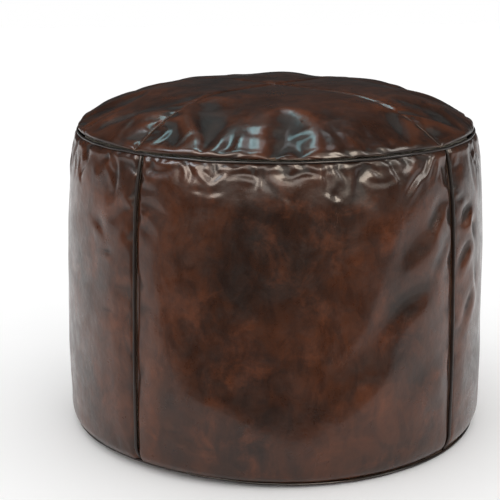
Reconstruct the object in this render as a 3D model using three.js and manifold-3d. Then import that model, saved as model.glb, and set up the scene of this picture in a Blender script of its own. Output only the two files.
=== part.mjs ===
// A round pouf in dark leather: four side panels, a domed top of four wedges, a base of two halves with a
// zip between them, leather-covered cords in the seams, and a stuffed cotton bag inside.
// Millimetres, +Z up. The origin is on the floor under the middle of the pouf, and the front is -Y.

import * as THREE from 'three';
import { mergeVertices } from 'three/addons/utils/BufferGeometryUtils.js';
import Module from 'manifold-3d';

const wasm = await Module();
wasm.setup();

// Driving dimensions of the outer shape
const MAX_RADIUS = 280; // widest radius, just above the floor
const TOP_SEAM_Z = 389; // height of the seam around the top
const CROWN = 51.9; // rise of the top from its rim to its middle
const CROWN_POWER = 4.25; // how flat the middle of the top is
const TAPER = 10.4; // loss of radius from the foot to the top seam
const SHOULDER = 14.6; // further loss of radius where the side rounds into the top seam
const SHOULDER_POWER = 9; // how sharp that rounding is
const FOOT_TUCK = 9.5; // loss of radius at the bottom seam
const FOOT_SHARE = 0.06; // share of the side's height over which the foot tucks in

// Leather and seams
const LEATHER = 1.8; // thickness of the panels
const GAP = 0.3; // clearance between pieces that touch
const ALLOWANCE = 5; // width of leather turned in at a seam
const SIDE_SEAM_SINK = 2.5; // depth of the groove that a side seam lies in
const TOP_SEAM_SINK = 1.2; // depth of the groove along a seam of the top
const GROOVE_WIDTH = 8; // from a side seam to where its groove ends
const TOP_GROOVE_WIDTH = 5; // the same for a seam of the top
const TIP_ROOM = [0.75, 0.9]; // shares of a wedge's half width that its edge and groove may take at its tip
const SEAMS = 4; // side seams, and seams across the top
const FIRST_SEAM = -45; // degrees from -Y towards +X
const TOP_TWIST = -2.5; // degrees by which the seams of the top miss those of the side

// Piping: a leather strip folded round a cotton cord, its two edges sewn into the seam
const RING_PIPING_RADIUS = 2.5; // around the top and the bottom
const SIDE_PIPING_RADIUS = 2.8; // down the sides
const STRIP = 0.8; // thickness of the strip
const STRIP_SLIT = 0.4; // gap between its two edges
const STANDOFF = 0.7; // how far the piping stays off the panels' edges
const STRIP_STEPS = [5, 4]; // steps round the outside and the inside of the strip
const CORD_SIDES = 6;

// Stuffed bag
const BAG = 0.8; // thickness of its cloth
const BAG_FLOOR_Z = 17;
const BAG_CORNER = 14; // rounding of the bag round its floor
const BAG_SHOULDER = 22; // how far below the top seam the bag starts to dome
const BAG_SLIT = [2, 280]; // width and length of the filling slit
const FILLING_GAP = 0.5;

// Zip under the base, along Y
const VALLEY = 12; // height of the zip's slot above the floor
const VALLEY_HALF_WIDTH = 45;
const VALLEY_LENGTHS = [205, 250]; // where the valley starts to fade, and where it has gone
const BASE_SWEEP = 87.5; // degrees either side of X that the rim of a half of the base spans
const SLOT_HALF_WIDTH = 7;
const SLOT_LENGTHS = [185, 200]; // where the slot starts to close, and where it has closed
const CHAIN_TOP = 158.7; // far end of the coils, at the closed end of the zip
const CHAIN_BOTTOM = -165;
const COIL = [3.05, 2]; // width and height of one coil
const COIL_DROP = 0.2; // how far the coils hang below the edges of the slot
const TAPE = [15.5, 0.6]; // width and thickness of one tape
const TAPE_EDGE = 1.5; // from the middle of the zip to a tape's edge
const TAPE_OVERRUN = 18; // length of tape past each end of the chain
const STOP_LENGTH = 2.5;
const STOP_REACH = 4; // from the middle of the zip to a top stop's outer side
const SLIDER = [10, 12]; // width and length
const PLATE = 1; // thickness of the slider's plates
const SLIDER_WALL = 0.8;
const SLIDER_PLAY = 0.5; // between the lower plate and the coils
const SLIDER_POST = [2, 2]; // width and length of the post that parts the chain
const BAIL = [2, 1.2]; // width and thickness of the loop that holds the pull
const BAIL_HALF_LENGTH = 4.2;
const HINGE_ROOM = 0.95; // from the pull's axis up to the lower plate, and down to the loop
const PULL = [8, 37, 1.4]; // width, length and thickness
const PULL_EYE = [3.2, 5]; // width and length
const PULL_BAR = 1.2; // side of the square bar that turns in the bail
const PULL_CHEEK = 1.2; // width of metal beside the eye
const PULL_NECK = [2, 8]; // from the eye to where the tab starts to widen, and to its full width

// Fineness of the mesh
const RING_STEPS = 48;
const BAG_STEPS = 32;
const PANEL_STEPS = 12; // across a side or top panel
const BASE_STEPS = [20, 8]; // along and across a half of the base
const SIDE_LEVELS = [0, 0.03, 0.06, 0.2, 0.4, 0.6, 0.75, 0.87, 0.94, 1]; // shares of the side's height
const TOP_LEVELS = [0.012, 0.3, 0.5, 0.66, 0.79, 0.89, 0.95, 1]; // shares of the top's radius

// Levels worked out from them
const STRIP_HALF = STRIP + STRIP_SLIT / 2; // half the thickness of the piping's sewn edge
const PANEL_SETBACK = STRIP_HALF + GAP; // from a piped seam's middle to a panel's edge
const BOTTOM_SEAM_Z = LEATHER + PANEL_SETBACK;
const SIDE_FOOT_Z = BOTTOM_SEAM_Z + PANEL_SETBACK;
const SIDE_TOP_Z = TOP_SEAM_Z - PANEL_SETBACK;
const RIM_Z = TOP_SEAM_Z + PANEL_SETBACK + LEATHER;
const RIM_RADIUS = sideRadius(SIDE_TOP_Z);
const BASE_RADIUS = sideRadius(SIDE_FOOT_Z) - GAP;
const BAG_INSET = SIDE_SEAM_SINK + LEATHER + ALLOWANCE + 2 * GAP;
const COIL_Z = VALLEY - COIL_DROP;
const TAPE_Z = COIL_Z + COIL[1] + GAP;
const SLIDER_FRONT = CHAIN_TOP + GAP + SLIDER_POST[1];
const SLIDER_Y = SLIDER_FRONT - SLIDER[1] / 2;
const PLATE_LOW_Z = COIL_Z - PLATE - SLIDER_PLAY;
const PLATE_HIGH_Z = TAPE_Z + TAPE[1] + GAP;
const HINGE_Z = PLATE_LOW_Z - HINGE_ROOM;

const MATERIALS = {
  panel: [0x4a2414, 0.3, 0],
  topPanel: [0x40200f, 0.28, 0],
  piping: [0x2c150c, 0.35, 0],
  cotton: [0xd9cfba, 0.9, 0],
  filling: [0xe8e2d6, 0.95, 0],
  tape: [0x2a1c14, 0.85, 0],
  coil: [0x2e2018, 0.45, 0],
  brass: [0x9a7842, 0.35, 1],
};

const model = new THREE.Group();

/** Radius of the side's outer face at a height. */
function sideRadius(z) {
  const share = Math.min(Math.max((z - SIDE_FOOT_Z) / (SIDE_TOP_Z - SIDE_FOOT_Z), 0), 1);
  const tuck = Math.max(1 - share / FOOT_SHARE, 0) ** 2;
  return MAX_RADIUS - TAPER * (share - FOOT_SHARE) - SHOULDER * share ** SHOULDER_POWER - FOOT_TUCK * tuck;
}

/** Height of the top's outer face at a radius. */
function topHeight(radius) {
  return RIM_Z + CROWN * (1 - Math.min(radius / RIM_RADIUS, 1) ** CROWN_POWER);
}

/** 1 before start, 0 past end, and a smooth fall between them. */
function fade(value, start, end) {
  return 1 - THREE.MathUtils.smoothstep(value, start, end);
}

/** Adds one named piece to the model. */
function add(name, geometry, look) {
  const [color, roughness, metalness] = MATERIALS[look];
  const mesh = new THREE.Mesh(geometry, new THREE.MeshStandardMaterial({ color, roughness, metalness }));
  mesh.name = name;
  model.add(mesh);
  return mesh;
}

/** A point at a radius, an angle in degrees from -Y towards +X, and a height. */
function polar(radius, degrees, z) {
  const angle = THREE.MathUtils.degToRad(degrees);
  return new THREE.Vector3(radius * Math.sin(angle), -radius * Math.cos(angle), z);
}

/** The merged mesh of some triangles, without those that have shrunk to a line, facing out. */
function closedBody(points, triangles) {
  const loose = new THREE.BufferGeometry().setFromPoints(points);
  loose.setIndex(triangles);
  const merged = mergeVertices(loose, 1e-3);
  const index = merged.getIndex().array;
  const corner = (i) => new THREE.Vector3().fromBufferAttribute(merged.attributes.position, i);
  const kept = [];
  let volume = 0;
  for (let i = 0; i < index.length; i += 3) {
    const [a, b, c] = [index[i], index[i + 1], index[i + 2]];
    if (a !== b && b !== c && c !== a) {
      kept.push(a, b, c);
      volume += corner(a).dot(corner(b).cross(corner(c)));
    }
  }
  merged.setIndex(volume < 0 ? kept.reverse() : kept);
  return merged;
}

/** A closed curved sheet. place(column, row, 0) gives its outer face, and place(column, row, 1) its inner. */
function sheet(columns, rows, place) {
  const points = [];
  const triangles = [];
  const at = (column, row, side) => (side * columns + column) * rows + row;
  const quad = (a, b, c, d) => triangles.push(a, b, c, a, c, d);
  for (const side of [0, 1]) {
    for (let column = 0; column < columns; column++) {
      for (let row = 0; row < rows; row++) points.push(place(column, row, side));
    }
  }
  for (let i = 1; i < columns; i++) {
    for (let j = 1; j < rows; j++) {
      quad(at(i - 1, j - 1, 0), at(i, j - 1, 0), at(i, j, 0), at(i - 1, j, 0));
      quad(at(i - 1, j, 1), at(i, j, 1), at(i, j - 1, 1), at(i - 1, j - 1, 1));
    }
    quad(at(i - 1, 0, 1), at(i, 0, 1), at(i, 0, 0), at(i - 1, 0, 0));
    quad(at(i - 1, rows - 1, 0), at(i, rows - 1, 0), at(i, rows - 1, 1), at(i - 1, rows - 1, 1));
  }
  for (let j = 1; j < rows; j++) {
    quad(at(0, j - 1, 0), at(0, j, 0), at(0, j, 1), at(0, j - 1, 1));
    quad(at(columns - 1, j, 0), at(columns - 1, j - 1, 0), at(columns - 1, j - 1, 1), at(columns - 1, j, 1));
  }
  return closedBody(points, triangles);
}

/** A three.js geometry as a manifold-3d solid. */
function solid(geometry) {
  const bare = geometry.clone();
  bare.deleteAttribute('normal');
  bare.deleteAttribute('uv');
  const merged = mergeVertices(bare, 1e-3);
  const triVerts = new Uint32Array(merged.getIndex().array);
  const vertProperties = new Float32Array(merged.attributes.position.array);
  return new wasm.Manifold(new wasm.Mesh({ numProp: 3, vertProperties, triVerts }));
}

/** A manifold-3d solid as a three.js geometry. */
function geometryOf(body) {
  const mesh = body.getMesh();
  const geometry = new THREE.BufferGeometry();
  geometry.setAttribute('position', new THREE.BufferAttribute(mesh.vertProperties, 3));
  geometry.setIndex(new THREE.BufferAttribute(mesh.triVerts, 1));
  return geometry;
}

/** A box from its lowest to its highest corner. */
function box(low, high) {
  const size = high.map((value, k) => value - low[k]);
  const middle = high.map((value, k) => (value + low[k]) / 2);
  return new THREE.BoxGeometry(...size).translate(...middle);
}

/** A solid of revolution about +Z from [radius, height] points. */
function turned(outline, steps) {
  const points = outline.map(([radius, height]) => new THREE.Vector2(Math.max(radius, 0), height));
  return new THREE.LatheGeometry(points, steps).rotateX(Math.PI / 2);
}

/** How far along a panel a column is: 'edge' columns lie at a distance from the seams, others share the middle. */
function panelColumns(grooveWidth) {
  const left = [
    { side: -1, part: 'allowance' },
    { side: -1, part: 'edge' },
    { side: -1, part: 'groove', away: grooveWidth },
  ];
  const right = left.map((column) => ({ ...column, side: 1 })).reverse();
  const middle = [];
  for (let k = 1; k < PANEL_STEPS; k++) middle.push({ part: 'middle', share: (2 * k) / PANEL_STEPS - 1 });
  return [...left, ...middle, ...right];
}

/** Degrees from a panel's middle to a line parallel to its seam, at a distance from it. */
function besideSeam(away, radius) {
  return 180 / SEAMS - THREE.MathUtils.radToDeg(Math.asin(away / radius));
}

/** One side panel, its middle at an angle. */
function sidePanel(middle) {
  const columns = panelColumns(GROOVE_WIDTH);
  const place = (column, row, inner) => {
    const { part, side, away, share } = columns[column];
    const z = THREE.MathUtils.lerp(SIDE_FOOT_Z, SIDE_TOP_Z, SIDE_LEVELS[row]);
    const face = sideRadius(z) - inner * LEATHER;
    const edge = PANEL_SETBACK + inner * LEATHER;
    if (part === 'middle') return polar(face, middle + share * besideSeam(GROOVE_WIDTH, face), z);
    if (part === 'groove') return polar(face, middle + side * besideSeam(away, face), z);
    const turnedIn = sideRadius(z) - SIDE_SEAM_SINK - LEATHER - ALLOWANCE;
    const radius = part === 'edge' ? face - SIDE_SEAM_SINK : turnedIn;
    return polar(radius, middle + side * besideSeam(edge, radius), z);
  };
  return sheet(columns.length, SIDE_LEVELS.length, place);
}

/** One wedge of the top, its middle at an angle. */
function topPanel(middle) {
  const columns = panelColumns(TOP_GROOVE_WIDTH);
  const place = (column, row, inner) => {
    const { part, side, share } = columns[column];
    const radius = TOP_LEVELS[row] * RIM_RADIUS;
    const room = radius * Math.sin(Math.PI / SEAMS);
    const groove = besideSeam(Math.min(TOP_GROOVE_WIDTH, TIP_ROOM[1] * room), radius);
    const edge = besideSeam(Math.min(GAP / 2 + inner * LEATHER, TIP_ROOM[0] * room), radius);
    const face = topHeight(radius) - inner * LEATHER;
    const lowest = RIM_Z - LEATHER;
    if (part === 'middle') return polar(radius, middle + share * groove, face);
    if (part === 'groove') return polar(radius, middle + side * groove, face);
    const sunk = Math.max(face - TOP_SEAM_SINK, RIM_Z - inner * LEATHER);
    const turnedIn = topHeight(radius) - TOP_SEAM_SINK - LEATHER - ALLOWANCE;
    return polar(radius, middle + side * edge, part === 'edge' ? sunk : Math.max(turnedIn, lowest));
  };
  return sheet(columns.length, TOP_LEVELS.length, place);
}

/** One half of the base, on the side of the zip given by its sign along X, with a valley beside the zip. */
function basePanel(side) {
  const [along, across] = BASE_STEPS;
  const place = (column, row, inner) => {
    const angle = THREE.MathUtils.degToRad(THREE.MathUtils.lerp(-BASE_SWEEP, BASE_SWEEP, column / along));
    const y = BASE_RADIUS * Math.sin(angle);
    const edge = THREE.MathUtils.lerp(GAP / 2, SLOT_HALF_WIDTH, fade(Math.abs(y), ...SLOT_LENGTHS));
    const x = THREE.MathUtils.lerp(edge, BASE_RADIUS * Math.cos(angle), (row / across) ** 2);
    const depth = fade(x, SLOT_HALF_WIDTH, VALLEY_HALF_WIDTH) * fade(Math.abs(y), ...VALLEY_LENGTHS);
    return new THREE.Vector3(side * x, y, VALLEY * depth + inner * LEATHER);
  };
  return sheet(along + 1, across + 1, place);
}

/** The section of a piping strip: a ring open towards -x, with its two edges running that way, as [x, y] points. */
function stripSection(radius, edgeLength) {
  const bore = radius - STRIP;
  const arc = (r, half, steps) => {
    const from = Math.PI - Math.asin(half / r);
    const turn = (k) => from * (1 - (2 * k) / steps);
    return Array.from({ length: steps + 1 }, (_, k) => [r * Math.cos(turn(k)), r * Math.sin(turn(k))]);
  };
  const end = -radius - edgeLength;
  return [
    [end, STRIP_HALF],
    ...arc(radius, STRIP_HALF, STRIP_STEPS[0]),
    [end, -STRIP_HALF],
    [end, -STRIP_SLIT / 2],
    ...arc(bore, STRIP_SLIT / 2, STRIP_STEPS[1]).reverse(),
    [end, STRIP_SLIT / 2],
  ];
}

/** The section of the cord inside a piping strip. */
function cordSection(radius) {
  const thick = radius - STRIP - 2 * GAP;
  const turn = (k) => (2 * Math.PI * k) / CORD_SIDES;
  return Array.from({ length: CORD_SIDES }, (_, k) => [thick * Math.cos(turn(k)), thick * Math.sin(turn(k))]);
}

/** A ring from a closed outline, facing out. */
function closedLathe(outline) {
  const lathe = turned(outline, RING_STEPS);
  const points = [];
  const position = lathe.attributes.position;
  for (let i = 0; i < position.count; i++) points.push(new THREE.Vector3().fromBufferAttribute(position, i));
  return closedBody(points, Array.from(lathe.getIndex().array));
}

/** Piping and its cord around a seam at a height, just outside the panels' edges. */
function addRingPiping(name, seamRadius, z) {
  const centre = seamRadius + RING_PIPING_RADIUS + STANDOFF;
  const ring = (section) => {
    const outline = [...section, section[0]].reverse();
    return closedLathe(outline.map(([x, y]) => [centre + x, z + y]));
  };
  add(name, ring(stripSection(RING_PIPING_RADIUS, ALLOWANCE)), 'piping');
  add(`${name}_cord`, ring(cordSection(RING_PIPING_RADIUS)), 'cotton');
}

/** Piping and its cord down one side seam, at an angle, clear of the two rings. */
function addSidePiping(name, degrees) {
  const low = BOTTOM_SEAM_Z + RING_PIPING_RADIUS + GAP;
  const high = TOP_SEAM_Z - RING_PIPING_RADIUS - GAP;
  const levels = SIDE_LEVELS.map((share) => THREE.MathUtils.lerp(SIDE_FOOT_Z, SIDE_TOP_Z, share));
  const standing = SIDE_PIPING_RADIUS + GAP - SIDE_SEAM_SINK;
  const lastLevel = levels.length - 1;
  const bent = (section) => {
    const shape = new THREE.Shape(section.map(([x, y]) => new THREE.Vector2(-y, x)));
    const prism = new THREE.ExtrudeGeometry(shape, { depth: lastLevel, steps: lastLevel, bevelEnabled: false });
    const position = prism.attributes.position;
    for (let i = 0; i < position.count; i++) {
      const z = THREE.MathUtils.clamp(levels[Math.round(position.getZ(i))], low, high);
      position.setXYZ(i, position.getX(i), -sideRadius(z) - standing - position.getY(i), z);
    }
    prism.deleteAttribute('normal');
    prism.deleteAttribute('uv');
    const merged = mergeVertices(prism, 1e-3);
    merged.setIndex(Array.from(merged.getIndex().array).reverse());
    return merged.rotateZ(THREE.MathUtils.degToRad(degrees));
  };
  add(name, bent(stripSection(SIDE_PIPING_RADIUS, ALLOWANCE)), 'piping');
  add(`${name}_cord`, bent(cordSection(SIDE_PIPING_RADIUS)), 'cotton');
}

/** Outline of the stuffed bag, inset from its outer face: floor, rounded corner, wall and dome. */
function bagOutline(inset) {
  const floor = BAG_FLOOR_Z + inset;
  const shoulder = SIDE_TOP_Z - BAG_SHOULDER - inset;
  const drop = TOP_SEAM_SINK + LEATHER + ALLOWANCE + 2 * GAP + inset;
  const wall = (z) => [sideRadius(z) - BAG_INSET - inset, z];
  const cornerTop = wall(floor + BAG_CORNER);
  const corner = [0, 30, 60].map((degrees) => {
    const angle = THREE.MathUtils.degToRad(degrees);
    const back = BAG_CORNER * (1 - Math.sin(angle));
    return [cornerTop[0] - back, floor + BAG_CORNER * (1 - Math.cos(angle))];
  });
  const wallLevels = SIDE_LEVELS.slice(3, -2).map((share) => THREE.MathUtils.lerp(SIDE_FOOT_Z, shoulder, share));
  const domeRadii = TOP_LEVELS.slice(1, -1).reverse().map((share) => share * (RIM_RADIUS - BAG_INSET));
  return [
    [0, floor],
    ...corner,
    cornerTop,
    ...wallLevels.map(wall),
    wall(shoulder),
    ...domeRadii.map((radius) => [radius - inset, topHeight(radius + BAG_INSET / 2) - drop]),
    [0, topHeight(0) - drop],
  ];
}

/** The stuffed bag: cotton cloth with a slit over the zip, and what fills it. */
function addBag() {
  const outer = solid(turned(bagOutline(0), BAG_STEPS));
  const inner = solid(turned(bagOutline(BAG), BAG_STEPS));
  const [width, length] = BAG_SLIT;
  const reach = [width / 2, length / 2];
  const slit = solid(box([-reach[0], -reach[1], BAG_FLOOR_Z - 1], [...reach, BAG_FLOOR_Z + BAG + 1]));
  add('inner_liner', geometryOf(outer.subtract(inner).subtract(slit)), 'cotton');
  add('filling', turned(bagOutline(BAG + FILLING_GAP), BAG_STEPS), 'filling');
}

/** The fixed half of the zip: tapes, coils and stops. */
function addZipChain() {
  const coilInner = GAP / 2;
  for (const [hand, side] of [['left', -1], ['right', 1]]) {
    const strip = (name, from, to, startY, endY, low, high, look) => {
      const [a, b] = side < 0 ? [-to, -from] : [from, to];
      add(name, box([a, startY, low], [b, endY, high]), look);
    };
    const tapeEnds = [CHAIN_BOTTOM - TAPE_OVERRUN, CHAIN_TOP + TAPE_OVERRUN];
    strip(`zip_tape_${hand}`, TAPE_EDGE, TAPE_EDGE + TAPE[0], ...tapeEnds, TAPE_Z, TAPE_Z + TAPE[1], 'tape');
    strip(`zip_coil_${hand}`, coilInner, coilInner + COIL[0], CHAIN_BOTTOM, CHAIN_TOP,
      COIL_Z, COIL_Z + COIL[1], 'coil');
    const stopY = SLIDER_FRONT + 2 * GAP;
    strip(`zip_top_stop_${hand}`, TAPE_EDGE, STOP_REACH, stopY, stopY + STOP_LENGTH,
      COIL_Z, COIL_Z + COIL[1], 'brass');
  }
  const stopEnd = CHAIN_BOTTOM - GAP;
  const half = coilInner + COIL[0];
  add('zip_bottom_stop', box([-half, stopEnd - STOP_LENGTH, COIL_Z], [half, stopEnd, COIL_Z + COIL[1]]), 'brass');
}

/** The slider: two plates on a post, side walls that guide the chain, and the loop for the pull. */
function addSlider() {
  const half = SLIDER[0] / 2;
  const back = SLIDER_Y - SLIDER[1] / 2;
  const front = SLIDER_Y + SLIDER[1] / 2;
  const wallTop = COIL_Z + COIL[1];
  const post = SLIDER_POST[0] / 2;
  const bailHalf = BAIL[0] / 2;
  const bailLow = HINGE_Z - HINGE_ROOM - BAIL[1];
  const bailFoot = PLATE_LOW_Z + PLATE / 2;
  const inPlate = PLATE / 2;
  const pieces = [
    box([-half, back, PLATE_LOW_Z], [half, front, PLATE_LOW_Z + PLATE]),
    box([-half, back, PLATE_HIGH_Z], [half, front, PLATE_HIGH_Z + PLATE]),
    box([-post, front - SLIDER_POST[1], PLATE_LOW_Z + inPlate], [post, front, PLATE_HIGH_Z + inPlate]),
    box([-half, back, PLATE_LOW_Z + inPlate], [SLIDER_WALL - half, front, wallTop]),
    box([half - SLIDER_WALL, back, PLATE_LOW_Z + inPlate], [half, front, wallTop]),
    box([-bailHalf, SLIDER_Y - BAIL_HALF_LENGTH, bailLow],
      [bailHalf, SLIDER_Y + BAIL_HALF_LENGTH, bailLow + BAIL[1]]),
  ];
  for (const end of [-1, 1]) {
    const [a, b] = [BAIL_HALF_LENGTH - BAIL[1], BAIL_HALF_LENGTH].map((reach) => SLIDER_Y + end * reach);
    pieces.push(box([-bailHalf, Math.min(a, b), bailLow + BAIL[1] / 2], [bailHalf, Math.max(a, b), bailFoot]));
  }
  const joined = pieces.map(solid).reduce((whole, piece) => whole.add(piece));
  add('zip_slider', geometryOf(joined), 'brass');
}

/** The pull: a rounded tab with an eye, whose end bar turns in the slider's loop. It lies along -Y. */
function addPull() {
  const [width, length, thickness] = PULL;
  const [eyeWidth, eyeLength] = PULL_EYE;
  const neck = eyeWidth / 2 + PULL_CHEEK;
  const [narrow, wide] = PULL_NECK.map((reach) => -eyeLength - reach);
  const barHalf = PULL_BAR / 2;
  const round = width / 2;
  const shape = new THREE.Shape();
  shape.moveTo(-neck, barHalf);
  shape.lineTo(-neck, narrow);
  shape.lineTo(-round, wide);
  shape.lineTo(-round, round - length);
  shape.absarc(0, round - length, round, Math.PI, 2 * Math.PI, false);
  shape.lineTo(round, wide);
  shape.lineTo(neck, narrow);
  shape.lineTo(neck, barHalf);
  const tab = new THREE.ExtrudeGeometry(shape, { depth: thickness, bevelEnabled: false, curveSegments: 6 });
  tab.translate(0, 0, -thickness / 2);
  const eye = box([-eyeWidth / 2, -barHalf - eyeLength, -thickness], [eyeWidth / 2, -barHalf, thickness]);
  const relief = (side) => box(
    [-width, -barHalf, side > 0 ? barHalf : -thickness],
    [width, width, side > 0 ? thickness : -barHalf],
  );
  const body = solid(tab).subtract(solid(eye)).subtract(solid(relief(1))).subtract(solid(relief(-1)));
  const pull = add('zip_pull', geometryOf(body), 'brass');
  pull.position.set(0, SLIDER_Y, HINGE_Z);
}

const PANEL_NAMES = ['front', 'right', 'back', 'left'];
const SEAM_NAMES = ['front_left', 'front_right', 'back_right', 'back_left'];
for (let k = 0; k < SEAMS; k++) {
  const turn = (360 / SEAMS) * k;
  add(`side_panel_${PANEL_NAMES[k]}`, sidePanel(turn), 'panel');
  add(`top_panel_${PANEL_NAMES[k]}`, topPanel(turn + TOP_TWIST), 'topPanel');
  addSidePiping(`side_piping_${SEAM_NAMES[k]}`, FIRST_SEAM + turn);
}
add('bottom_panel_left', basePanel(-1), 'panel');
add('bottom_panel_right', basePanel(1), 'panel');
addRingPiping('top_piping', RIM_RADIUS, TOP_SEAM_Z);
addRingPiping('bottom_piping', sideRadius(SIDE_FOOT_Z), BOTTOM_SEAM_Z);
addBag();
addZipChain();
addSlider();
addPull();

export default model;
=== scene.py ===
"""A round pouf in dark burnished leather: piped seams, a domed top of four wedges, puckered leather over a
stuffed bag, and a zip hidden in its base. Metres, +Z up, front -Y."""

import math

import bmesh
import bpy
import numpy as np
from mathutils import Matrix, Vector, noise


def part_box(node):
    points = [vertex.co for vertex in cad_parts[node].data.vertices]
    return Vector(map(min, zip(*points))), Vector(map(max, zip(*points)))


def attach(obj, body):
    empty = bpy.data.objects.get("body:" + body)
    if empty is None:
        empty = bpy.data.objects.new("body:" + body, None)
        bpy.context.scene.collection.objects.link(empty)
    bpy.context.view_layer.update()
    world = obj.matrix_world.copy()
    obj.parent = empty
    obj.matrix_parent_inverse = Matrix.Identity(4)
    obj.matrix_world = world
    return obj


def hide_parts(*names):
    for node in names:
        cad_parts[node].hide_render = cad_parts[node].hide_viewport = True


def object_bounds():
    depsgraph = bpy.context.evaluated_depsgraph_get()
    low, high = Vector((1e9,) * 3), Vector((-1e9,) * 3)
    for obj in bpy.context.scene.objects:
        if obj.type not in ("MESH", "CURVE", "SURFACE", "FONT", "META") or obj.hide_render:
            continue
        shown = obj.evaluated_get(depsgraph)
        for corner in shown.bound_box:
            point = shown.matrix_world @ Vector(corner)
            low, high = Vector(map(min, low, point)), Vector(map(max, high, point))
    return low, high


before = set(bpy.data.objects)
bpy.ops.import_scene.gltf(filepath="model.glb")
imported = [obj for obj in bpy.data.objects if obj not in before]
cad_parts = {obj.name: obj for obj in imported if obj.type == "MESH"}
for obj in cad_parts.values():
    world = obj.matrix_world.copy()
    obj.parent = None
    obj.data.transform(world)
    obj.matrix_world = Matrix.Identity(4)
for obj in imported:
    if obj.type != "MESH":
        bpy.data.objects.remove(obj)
cad_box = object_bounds()

MM = 0.001

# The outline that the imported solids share, in metres
MAX_RADIUS = (cad_box[1][0] - cad_box[0][0]) / 2
TOP_Z = cad_box[1][2]
PANEL_LOW, PANEL_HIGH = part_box("side_panel_front")
FOOT_Z, SIDE_TOP_Z = PANEL_LOW[2], PANEL_HIGH[2]
RIM_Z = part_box("top_panel_front")[0][2] + 1.8 * MM
TAPER = 10.4 * MM  # how much the side narrows from its foot to its top
SHOULDER = 14.6 * MM  # how much it turns in just below the top
SHOULDER_POWER = 9
FOOT_TUCK = 9.5 * MM  # how much it turns in at the foot, over a share of its height
FOOT_SHARE = 0.06
CROWN_POWER = 4.25
SWELLING = 1.2 * MM  # room left for the stuffing to push the side out
SWELLING_SHARE = 0.1
FOOT_LEAN = 2.4 * MM  # how much the foot of the cover stands inside the solids
LEAN_SHARE = 0.3
FOOT_LIFT = 7.0 * MM  # how far the foot is drawn up at the front left
LIFT_HEIGHT = 45 * MM
LIFT_MIDDLE, LIFT_WIDTH = -40, 34  # degrees
TOP_TWIST = -2.5  # degrees by which the seams of the top miss those of the side
QUARTER = 90.0
LEATHER = 1.8 * MM


def seam_ring(node):
    """(radius, height) of the middle of a ring of piping."""
    low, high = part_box(node)
    return (high[0] - low[0]) / 2, (low[2] + high[2]) / 2


TOP_PIPE_RADIUS = 1.6 * MM
BOTTOM_PIPE_RADIUS = 1.5 * MM
SIDE_PIPE_RADIUS = 2.0 * MM
TOP_RING = (seam_ring("top_piping")[0] - 3.9 * MM, seam_ring("top_piping")[1])
BOTTOM_RING = (seam_ring("bottom_piping")[0] - 7.0 * MM, seam_ring("bottom_piping")[1] - 0.6 * MM)


def ease(value):
    """0 to 1 with a soft start and end."""
    share = np.clip(value, 0, 1)
    return share * share * (3 - 2 * share)


def side_radius(z):
    """Radius of the side's smooth outer face at a height, a little inside the solid's."""
    share = np.clip((z - FOOT_Z) / (SIDE_TOP_Z - FOOT_Z), 0, 1)
    tuck = np.maximum(1 - share / FOOT_SHARE, 0) ** 2
    room = SWELLING * ease((1 - share) / SWELLING_SHARE) + FOOT_LEAN * ease((LEAN_SHARE - share) / LEAN_SHARE)
    return (
        MAX_RADIUS
        - TAPER * (share - FOOT_SHARE)
        - SHOULDER * share**SHOULDER_POWER
        - FOOT_TUCK * tuck
        - room
    )


def lift(degrees, z=FOOT_Z):
    """How far the foot of the side is drawn up, most of it at the front left, fading out above."""
    turn = (degrees - LIFT_MIDDLE + 180) % 360 - 180
    return FOOT_LIFT * bell(turn, LIFT_WIDTH) * bell(z - FOOT_Z, LIFT_HEIGHT)


RIM_RADIUS = float(side_radius(SIDE_TOP_Z))


def top_height(radius):
    """Height of the top's smooth outer face at a radius."""
    return RIM_Z + (TOP_Z - RIM_Z) * (1 - np.clip(radius / RIM_RADIUS, 0, 1) ** CROWN_POWER)


def polar(radius, degrees, z):
    """Points at a radius, an angle in degrees from -Y towards +X, and a height."""
    angle = np.radians(degrees)
    return np.stack(np.broadcast_arrays(radius * np.sin(angle), -radius * np.cos(angle), z), axis=-1)


def rough(points, size, octaves=3, seed=0.0):
    """Smooth noise from about -1 to 1 at each point, with lumps of about that size."""
    flat = points.reshape(-1, 3) / size + seed
    values = [noise.fractal(Vector(p), 1.0, 2.0, octaves) for p in flat]
    return np.array(values).reshape(points.shape[:-1])


def bell(distance, width):
    """1 at no distance, falling smoothly to nothing beyond about two widths."""
    return np.exp(-((distance / width) ** 2))


# ---------------------------------------------------------------- mesh helpers


def make_object(name, points, faces, smooth=True):
    """A mesh object from points and faces."""
    mesh = bpy.data.meshes.new(name)
    mesh.from_pydata([tuple(map(float, p)) for p in points], [], faces)
    mesh.update()
    if smooth:
        mesh.shade_smooth()
    obj = bpy.data.objects.new(name, mesh)
    bpy.context.scene.collection.objects.link(obj)
    return obj


def grid_faces(columns, rows, wrap=False):
    """Quads of a grid stored column by column. A wrapped grid closes on its first column."""
    faces = []
    for i in range(columns if wrap else columns - 1):
        j = (i + 1) % columns
        for k in range(rows - 1):
            faces.append((i * rows + k, j * rows + k, j * rows + k + 1, i * rows + k + 1))
    return faces


def spread(*parts):
    """A rising list of places from (start, end, step) stretches that follow each other."""
    places = [parts[0][0]]
    for start, end, step in parts:
        count = max(1, round((end - start) / step))
        places += [start + (end - start) * k / count for k in range(1, count + 1)]
    return np.array(places)


def mirrored(places, length):
    """Places measured from one edge, repeated from the other edge of a length."""
    return np.concatenate([places, (length - places)[::-1]])


def add_group(obj, name, weights):
    """A vertex group with one weight for each vertex."""
    group = obj.vertex_groups.new(name=name)
    for index, weight in enumerate(weights):
        if weight > 0.001:
            group.add([index], float(weight), "REPLACE")


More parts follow.
